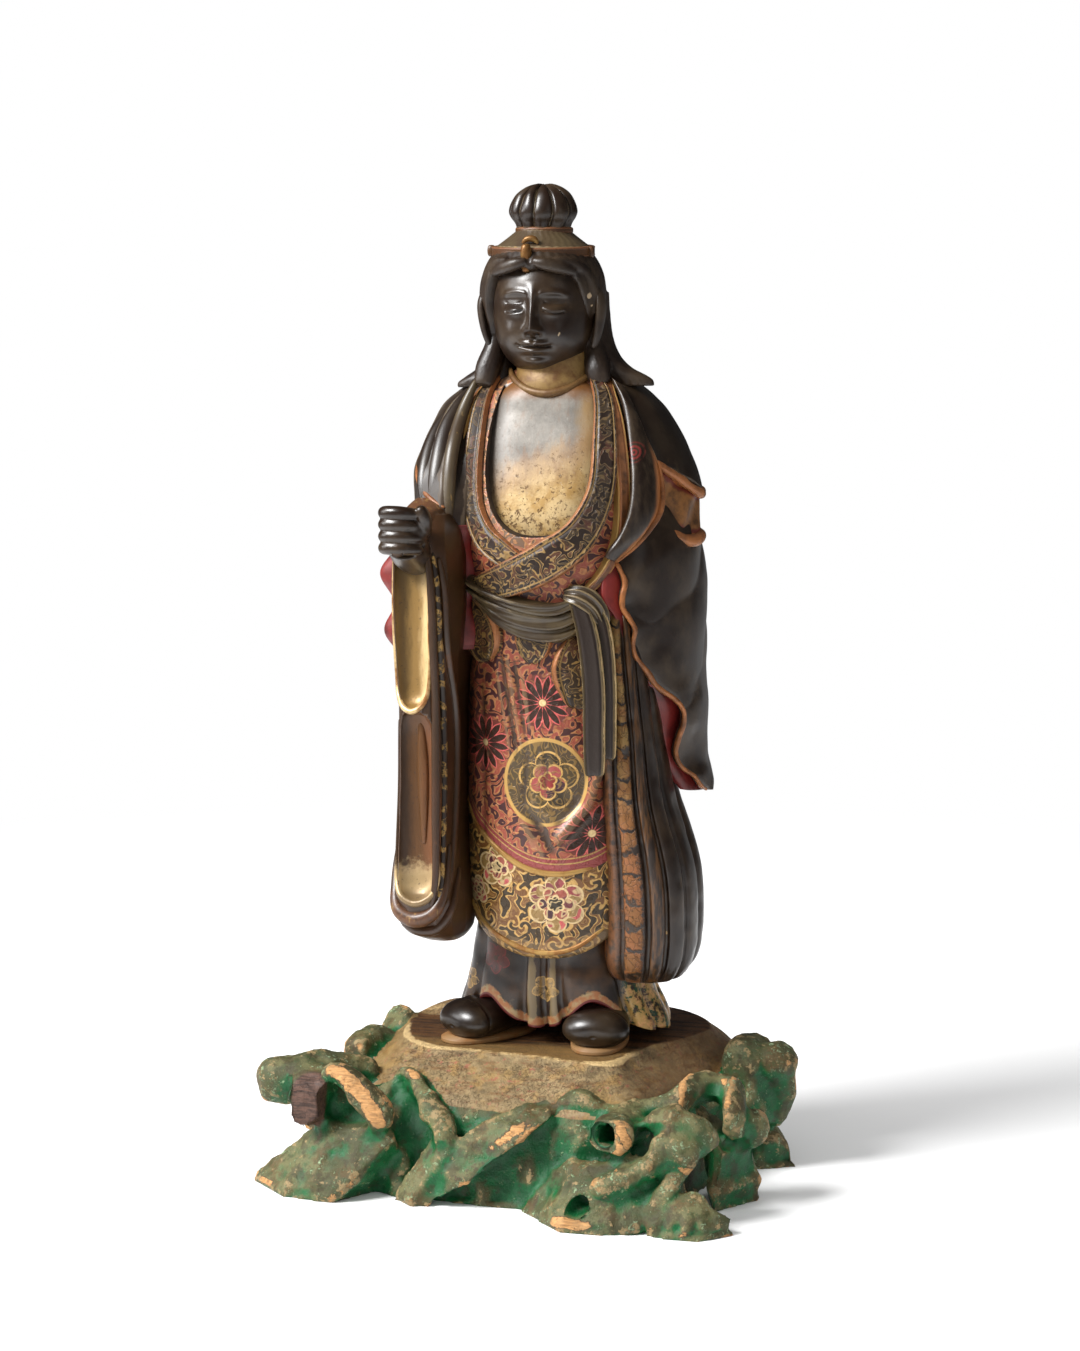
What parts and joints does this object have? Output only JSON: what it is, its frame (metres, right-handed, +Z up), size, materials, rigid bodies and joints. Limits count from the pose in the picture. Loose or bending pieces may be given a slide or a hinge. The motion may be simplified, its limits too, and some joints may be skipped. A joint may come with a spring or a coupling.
{
  "type": "wooden buddhist goddess figure",
  "caption": "Standing robed wooden goddess figure in worn lacquer, gold and brocade colours, one fist raised, on a carved plinth of green rocks.",
  "frame": {"origin": "on the flat underside of the plinth, below the axis of the standing figure", "axes": "+Z up along the standing figure, -Y the way the figure faces, +X to the viewer's right"},
  "size_m": [0.2286, 0.1991, 0.4325],
  "materials": {
    "painted_rock": "matt green and tan paint, chipped to bare wood",
    "painted_robe": "satin lacquer with worn gold and red painted brocade",
    "dark_lacquer": "satin near-black brown lacquer with small losses"
  },
  "bodies": {
    "root": {"rock_base": "painted_rock", "figure_body": "painted_robe", "head": "dark_lacquer", "right_hand": "dark_lacquer"}
  },
  "joints": []
}
